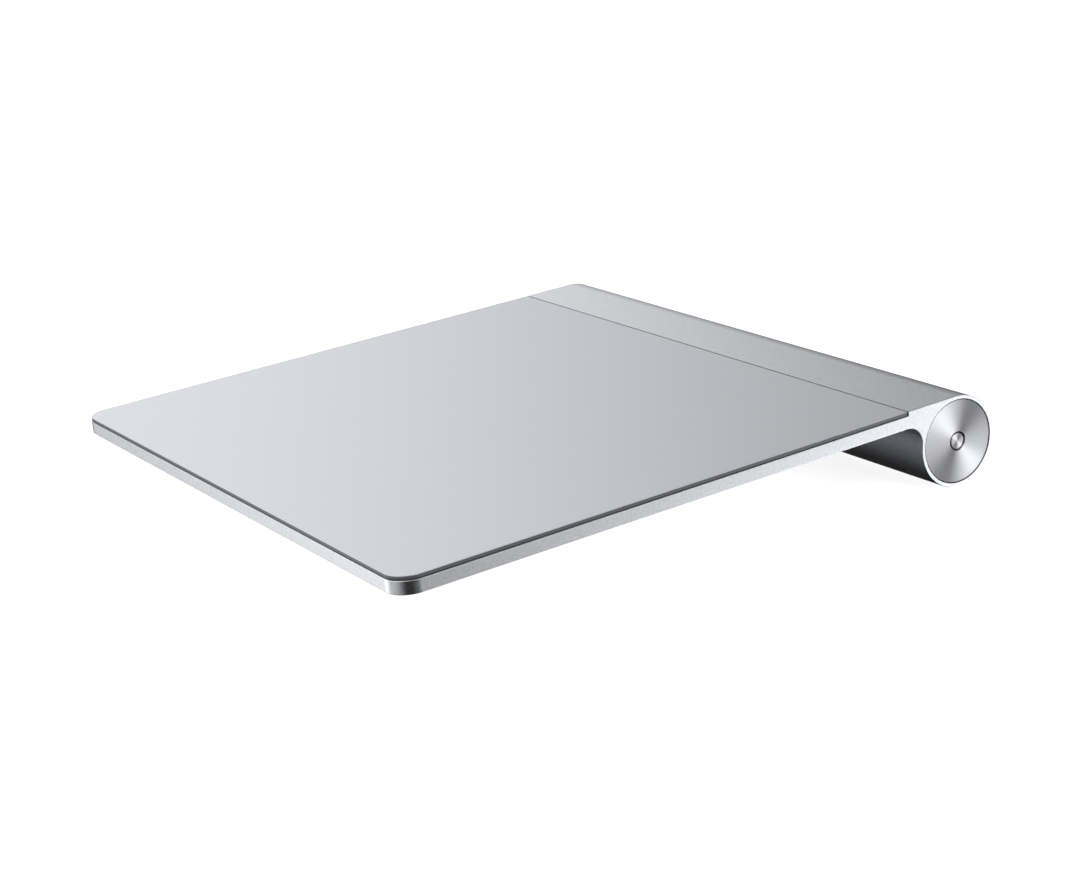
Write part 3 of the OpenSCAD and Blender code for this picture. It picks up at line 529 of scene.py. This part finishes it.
def cut_ridge(tree, inputs):
    """Ridge of a thread that follows a helix and runs out to nothing at both ends."""
    helix = add(tree, "GeometryNodeCurveSpiral", values={"Reverse": True}, links={
        "Resolution": inputs["Resolution"], "Rotations": inputs["Rotations"],
        "Start Radius": inputs["Root Radius"], "End Radius": inputs["Root Radius"],
        "Height": inputs["Height"]})
    upright = add(tree, "GeometryNodeSetCurveNormal", {"mode": "Z_UP"}, links={0: helix.outputs[0]})
    along = add(tree, "GeometryNodeSplineParameter").outputs["Factor"]
    from_end = add(tree, "ShaderNodeMath", {"operation": "PINGPONG"}, {1: 0.5}, {0: along})
    fullness = add(tree, "ShaderNodeMapRange",
                   values={"From Max": THREAD_RUN_OUT, "To Min": THREAD_TIP},
                   links={"Value": from_end.outputs[0]})
    ridge = add(tree, "GeometryNodeCurvePrimitiveQuadrilateral", {"mode": "TRAPEZOID"},
                {"Offset": 0.0},
                {"Height": inputs["Depth"], "Bottom Width": inputs["Root Width"],
                 "Top Width": inputs["Crest Width"]})
    half_depth = add(tree, "ShaderNodeMath", {"operation": "MULTIPLY"}, {1: 0.5},
                     {0: inputs["Depth"]})
    outward = add(tree, "ShaderNodeCombineXYZ", links={"X": half_depth.outputs[0]})
    facing_out = add(tree, "GeometryNodeTransform", values={"Rotation": (0, 0, -math.pi / 2)},
                     links={"Geometry": ridge.outputs[0], "Translation": outward.outputs[0]})
    return add(tree, "GeometryNodeCurveToMesh", values={"Fill Caps": True},
               links={"Curve": upright.outputs[0], "Profile Curve": facing_out.outputs[0],
                      "Scale": fullness.outputs[0]}).outputs[0]


# Right-handed thread on the cap's neck, from just behind its head
thread = grown("screw_cap_thread", {"Resolution": 96, "Rotations": THREAD_TURNS,
                                    "Root Radius": thread_root - THREAD_SINK,
                                    "Height": THREAD_TURNS * THREAD_PITCH, "Depth": THREAD_DEPTH,
                                    "Root Width": THREAD_ROOT * THREAD_PITCH,
                                    "Crest Width": THREAD_CREST * THREAD_PITCH},
               cut_ridge, cut_thread,
               STANDING @ Matrix.Translation((THREAD_START, 0, 0)) @ ALONG_TUBE)
place("screw_cap_thread", thread, [], "cap", "spun_aluminium")

# Snap dome in the click switch, which flattens under the lever's nub
dome = place("snap_dome", to_mesh("snap_dome", softened("click_dome", DOME_EDGE, 1)),
             [FINISHES["steel"]], "body", "steel", "click_dome")
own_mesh(dome)

# Pieces that keep their CAD shape take the finish of their slot
for part in frame["record"]["subparts"]:
    node = frame["nodes"][part["node"]]
    if not node.hide_render:
        node.data.materials.clear()
        node.data.materials.append(FINISHES[part["material_slot"]])

# Camera at the photograph's place, fitted to the edges that the photograph shows: its place in
# millimetres, then its turn, its look down and its roll in degrees
CAMERA_PLACE = Vector((373.961, -241.318, 122.463))
CAMERA_TURN, CAMERA_DOWN, CAMERA_ROLL = (math.radians(a) for a in (56.665, 14.9875, 0.0685))
lens = bpy.data.cameras.new("photo_camera")
lens.sensor_fit, lens.sensor_width, lens.lens = "HORIZONTAL", 36.0, 76.775
lens.clip_start, lens.clip_end = 0.01, 50.0
camera = bpy.data.objects.new("photo_camera", lens)
camera.matrix_world = (Matrix.Translation(CAMERA_PLACE * MM)
                       @ Matrix.Rotation(CAMERA_TURN, 4, "Z")
                       @ Matrix.Rotation(math.pi / 2 - CAMERA_DOWN, 4, "X")
                       @ Matrix.Rotation(CAMERA_ROLL, 4, "Z"))
bpy.context.scene.collection.objects.link(camera)
bpy.context.scene.camera = camera

# Sizes of the stage in metres. The card's glow, painted light of the table beyond the tray's shadow, fades between
# two places along Y.
TABLE_HALF, BACKDROP_RADIUS = 4.0, 6.0
CARD_HALF, CARD_HEIGHT = 0.06, -0.0002
CARD_FADE, CARD_GLOW = (0.036, 0.048), 0.135


def stage_piece(name, shape, material):
    """A piece of the stage, of a shape in metres, that casts no shadow of its own."""
    mesh = bpy.data.meshes.new(name)
    shape.to_mesh(mesh)
    shape.free()
    mesh.materials.append(material)
    piece = bpy.data.objects.new(name, mesh)
    piece.visible_shadow = False
    bpy.context.scene.collection.objects.link(piece)
    return piece


def level_sheet(half, height):
    """A level square sheet of this half width, at this height."""
    sheet = bmesh.new()
    bmesh.ops.create_grid(sheet, x_segments=1, y_segments=1, size=half,
                          matrix=Matrix.Translation((0, 0, height)))
    return sheet


def white_above(tree, point):
    """An even white that is clear from below, so that the underside can be looked at."""
    below = add(tree, "ShaderNodeNewGeometry").outputs["Backfacing"]
    solid = add(tree, "ShaderNodeMath", {"operation": "SUBTRACT"}, {0: 1.0}, {1: below})
    return {**grain(1.2, ("#F4F4F4", "#F7F7F7"), (0.9, 0.95), 0.0)(tree, point),
            "Alpha": solid.outputs[0]}


def shaded_card(tree, point):
    """A card of painted shade that darkens towards the tube, as the tray's own shadow does, and glows with painted
    light away from it.
    """
    across = add(tree, "ShaderNodeSeparateXYZ", links={0: point}).outputs["Y"]
    glow = add(tree, "ShaderNodeMapRange",
               values={"From Min": CARD_FADE[0], "From Max": CARD_FADE[1],
                       "To Min": CARD_GLOW, "To Max": 0.0},
               links={"Value": across})
    return {**grain(0.8, ("#323232", "#3A3A3A"), (0.9, 0.95), 0.0)(tree, point),
            "Emission Strength": glow.outputs[0]}


# Opal acrylic, matt: a plain white table, lit a little from below so that shadows stay soft.
# The metal doesn't mirror it, as it wouldn't a table far below.
table = stage_piece("floor", level_sheet(TABLE_HALF, 0.0), finish(
    "opal_acrylic_matt", {"Specular IOR Level": 0.0, "Emission Strength": 0.8,
                          "Emission Color": linear("#FFFFFF")}, white_above))
# Paper, matt: a plain white backdrop all round, which only the camera sees
ball = bmesh.new()
bmesh.ops.create_icosphere(ball, subdivisions=4, radius=BACKDROP_RADIUS)
bmesh.ops.reverse_faces(ball, faces=ball.faces)
backdrop = stage_piece("backdrop", ball, finish(
    "white_paper_matt", {"Specular IOR Level": 0.0, "Emission Strength": 1.0,
                         "Emission Color": linear("#FFFFFF")},
    grain(40, ("#F4F4F4", "#F7F7F7"), (0.9, 0.95), 0.0)))
# Grey card under the tray, which only reflections see: painted shade for the dark that the tray's shadow gives,
# with a painted glow towards the front
card = stage_piece("shade_card", level_sheet(CARD_HALF, CARD_HEIGHT), finish(
    "grey_card_painted_shade", {"Specular IOR Level": 0.0, "Emission Color": linear("#E9EDFF")},
    shaded_card))
card.visible_camera = False
for piece in (table, backdrop):
    piece.visible_glossy = piece.visible_diffuse = False
for piece in (table, backdrop, card):
    piece.data.materials[0].cycles.emission_sampling = "NONE"

# Soft studio light: panels with blurred edges on an unlit surround. Each has the azimuth of its
# middle, from +X towards +Y, its elevation, half its width and height, the blur of its upright and
# of its level edges, all in degrees, and a strength.
PANELS = (
    (17, 12, 15, 12, 8, 24, 1.7),
    (14, 30, 16, 32, 24, 24, 0.45),
    (22, 3, 12, 8, 20, 16, 0.6),
    (88, 36, 42, 24, 40, 30, 0.4),
    (185, 31, 40, 34, 37, 29, 1.3),
    (262, 31, 37, 34, 37, 29, 1.1),
    (313, 46, 50, 16, 30, 24, 1.7),
    (79, -25, 22, 16, 24, 24, 7.8),
    (47, -15, 12, 10, 24, 20, 1.1),
    (263, -21, 32, 12, 56, 24, 0.92),
    (218, -24, 17, 12, 24, 24, 1.86),
)


def within(tree, angle, middle, half, blur):
    """How far an angle is inside a panel's two edges, from 0 to 1, all in degrees."""
    near_middle = add(tree, "ShaderNodeMath", {"operation": "WRAP"},
                      {1: middle + 180, 2: middle - 180}, {0: angle})
    off = add(tree, "ShaderNodeMath", {"operation": "SUBTRACT"}, {1: middle},
              {0: near_middle.outputs[0]})
    away = add(tree, "ShaderNodeMath", {"operation": "ABSOLUTE"}, links={0: off.outputs[0]})
    return add(tree, "ShaderNodeMapRange", {"interpolation_type": "SMOOTHSTEP"},
               {"From Min": half + blur / 2, "From Max": half - blur / 2},
               {"Value": away.outputs[0]}).outputs[0]


def soft_panels():
    """The studio's panels as a world, which looks alike from every place."""
    world = bpy.data.worlds.new("studio")
    bpy.context.scene.world = world
    world.use_nodes = True
    tree = world.node_tree
    tree.nodes.clear()
    way = add(tree, "ShaderNodeTexCoord").outputs["Generated"]
    x, y, z = add(tree, "ShaderNodeSeparateXYZ", links={0: way}).outputs
    turn = add(tree, "ShaderNodeMath", {"operation": "ARCTAN2"}, links={0: y, 1: x})
    rise = add(tree, "ShaderNodeMath", {"operation": "ARCSINE"}, links={0: z})
    turn, rise = (add(tree, "ShaderNodeMath", {"operation": "DEGREES"},
                      links={0: angle.outputs[0]}).outputs[0] for angle in (turn, rise))
    so_far = {}
    for azimuth, elevation, half_width, half_height, side_blur, level_blur, strength in PANELS:
        panel = add(tree, "ShaderNodeMath", {"operation": "MULTIPLY"}, links={
            0: within(tree, turn, azimuth, half_width, side_blur),
            1: within(tree, rise, elevation, half_height, level_blur)})
        light = add(tree, "ShaderNodeMath", {"operation": "MULTIPLY_ADD"}, {1: strength, 2: 0.0},
                    {0: panel.outputs[0], **so_far})
        so_far = {2: light.outputs[0]}
    glow = add(tree, "ShaderNodeBackground", values={"Color": linear("#F9FAFF")},
               links={"Strength": light.outputs[0]})
    add(tree, "ShaderNodeOutputWorld", links={"Surface": glow.outputs[0]})


soft_panels()
bpy.context.scene.view_settings.view_transform = "Standard"
